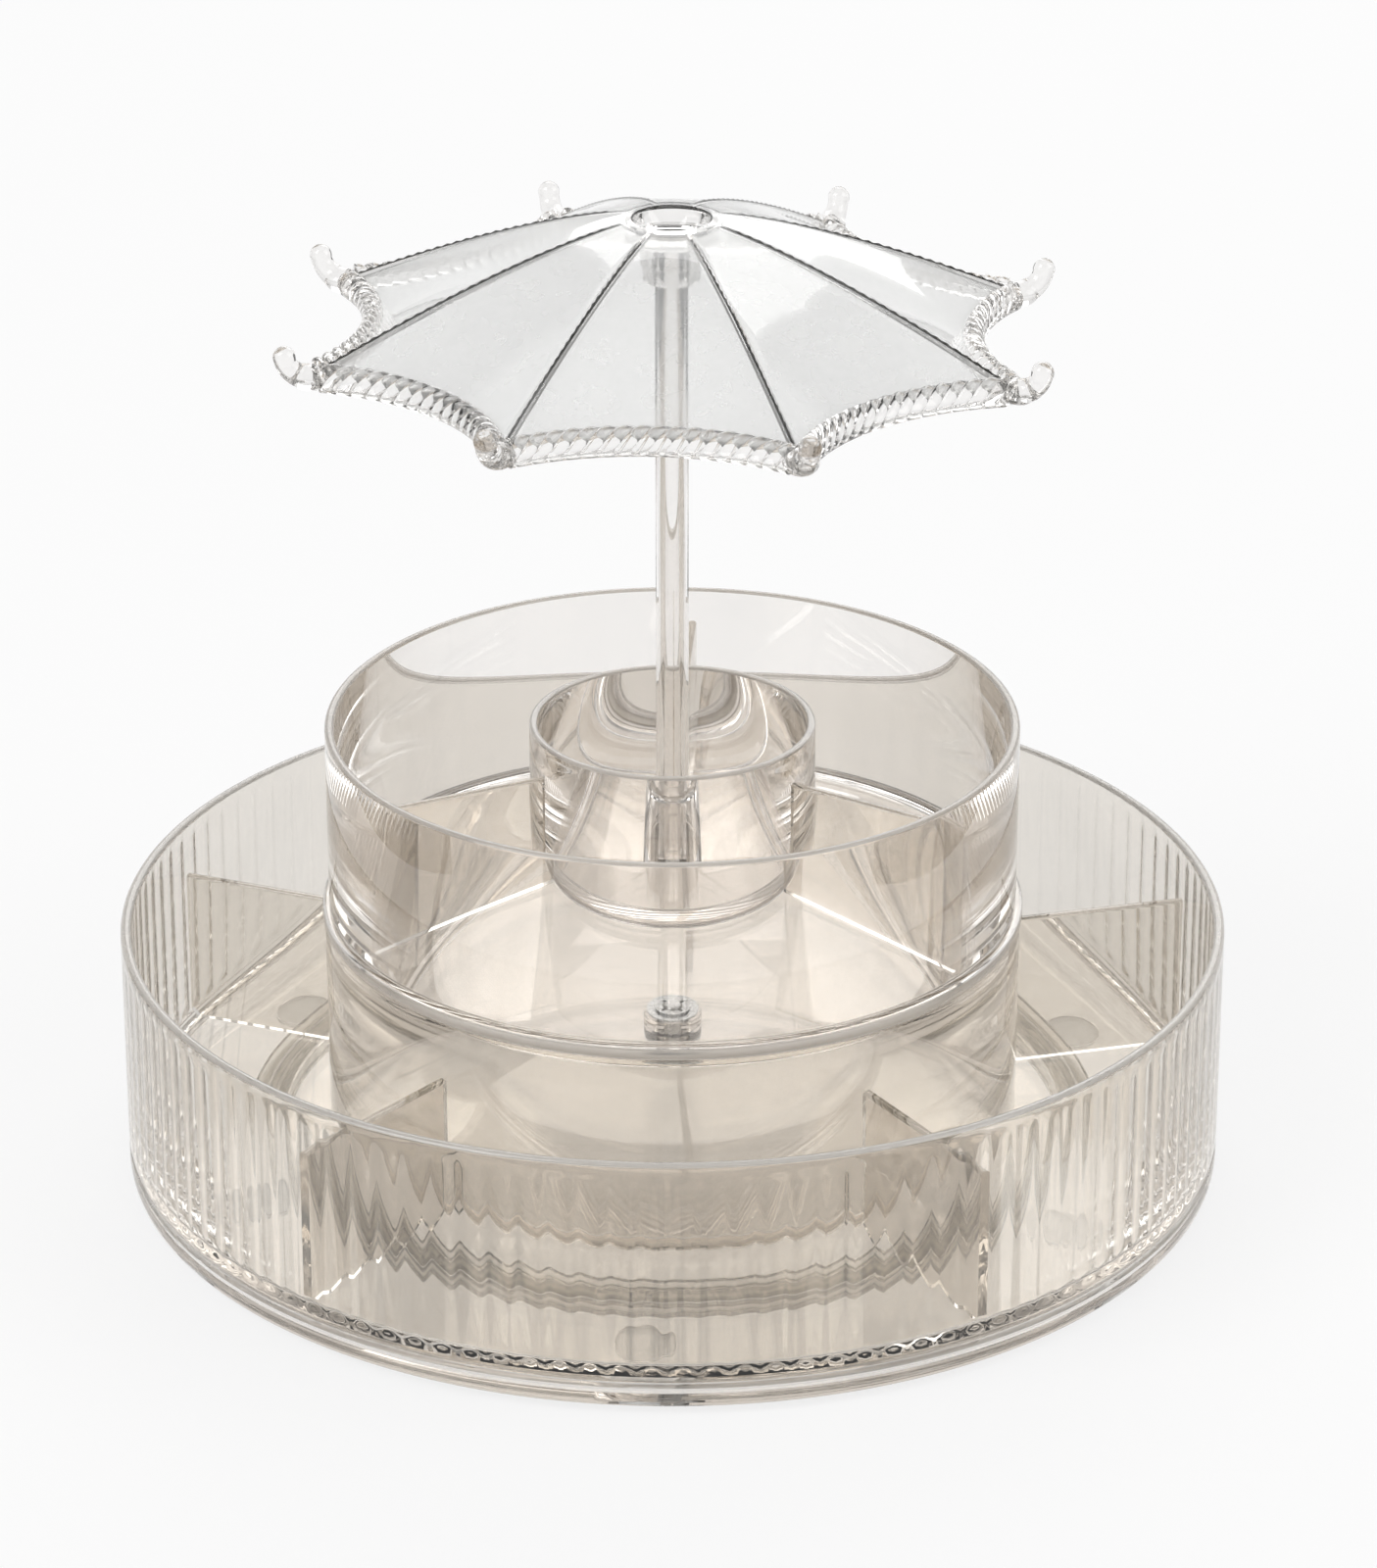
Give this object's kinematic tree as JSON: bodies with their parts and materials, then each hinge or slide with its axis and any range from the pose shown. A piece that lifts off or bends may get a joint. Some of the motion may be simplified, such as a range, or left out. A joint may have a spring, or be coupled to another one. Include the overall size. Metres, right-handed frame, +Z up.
{
  "type": "rotating makeup organizer",
  "caption": "Clear two-tier turntable organizer with dividers, a centre cup, and a jewellery umbrella with rope edge and hooks on a removable pole.",
  "frame": {"origin": "centre of the resting plane, under the turning axis", "axes": "+Z up along the turning axis, -Y towards the viewer's front, +X to the viewer's right"},
  "size_m": [0.3, 0.3, 0.2699],
  "materials": {
    "clear_tray": "clear water-white polystyrene, polished",
    "clear_umbrella": "clear water-white acrylic, moulded",
    "clear_pole": "clear extruded acrylic tube",
    "race_nylon": "natural translucent nylon",
    "bearing_steel": "bright zinc-plated steel",
    "foot_rubber": "soft translucent silicone, satin"
  },
  "bodies": {
    "base": {"base_plate": "clear_tray", "foot_1": "foot_rubber", "foot_2": "foot_rubber", "foot_3": "foot_rubber", "foot_4": "foot_rubber", "foot_5": "foot_rubber", "foot_6": "foot_rubber", "lower_race": "race_nylon", "pivot_pin": "bearing_steel", "pivot_washer": "bearing_steel", "pivot_clip": "bearing_steel"},
    "cage": {"ball_cage": "race_nylon", "bearing_balls": "bearing_steel"},
    "tray": {"lower_tray": "clear_tray", "upper_race": "race_nylon", "support_drum": "clear_tray", "lower_divider_1": "clear_tray", "lower_divider_2": "clear_tray", "lower_divider_3": "clear_tray", "lower_divider_4": "clear_tray", "lower_divider_5": "clear_tray"},
    "upper_tier": {"upper_tray": "clear_tray", "centre_cup": "clear_tray", "pole_socket": "clear_pole", "upper_divider_1": "clear_tray", "upper_divider_2": "clear_tray", "upper_divider_3": "clear_tray"},
    "pole": {"umbrella_pole": "clear_pole"},
    "canopy": {"canopy": "clear_umbrella", "canopy_hub": "clear_umbrella", "rope_rim_1": "clear_umbrella", "rope_rim_2": "clear_umbrella", "rope_rim_3": "clear_umbrella", "rope_rim_4": "clear_umbrella", "rope_rim_5": "clear_umbrella", "rope_rim_6": "clear_umbrella", "rope_rim_7": "clear_umbrella", "rope_rim_8": "clear_umbrella", "hook_1": "clear_umbrella", "hook_2": "clear_umbrella", "hook_3": "clear_umbrella", "hook_4": "clear_umbrella", "hook_5": "clear_umbrella", "hook_6": "clear_umbrella", "hook_7": "clear_umbrella", "hook_8": "clear_umbrella"}
  },
  "joints": [
    {"name": "tray_spin", "type": "hinge", "parent": "base", "child": "tray", "pos_m": [0, 0, 0.0097], "axis": [0, 0, 1], "continuous": true},
    {"name": "cage_spin", "type": "hinge", "parent": "base", "child": "cage", "pos_m": [0, 0, 0.0071], "axis": [0, 0, 1], "continuous": true},
    {"name": "upper_lift", "type": "slide", "parent": "tray", "child": "upper_tier", "axis": [0, 0, 1], "range_m": [0, 0.08]},
    {"name": "pole_lift", "type": "slide", "parent": "upper_tier", "child": "pole", "axis": [0, 0, 1], "range_m": [0, 0.06]},
    {"name": "canopy_turn", "type": "hinge", "parent": "pole", "child": "canopy", "pos_m": [0, 0, 0.2612], "axis": [0, 0, 1], "continuous": true}
  ],
  "couplings": [
    {"joint": "cage_spin", "follows": "tray_spin", "ratio": 0.5}
  ]
}
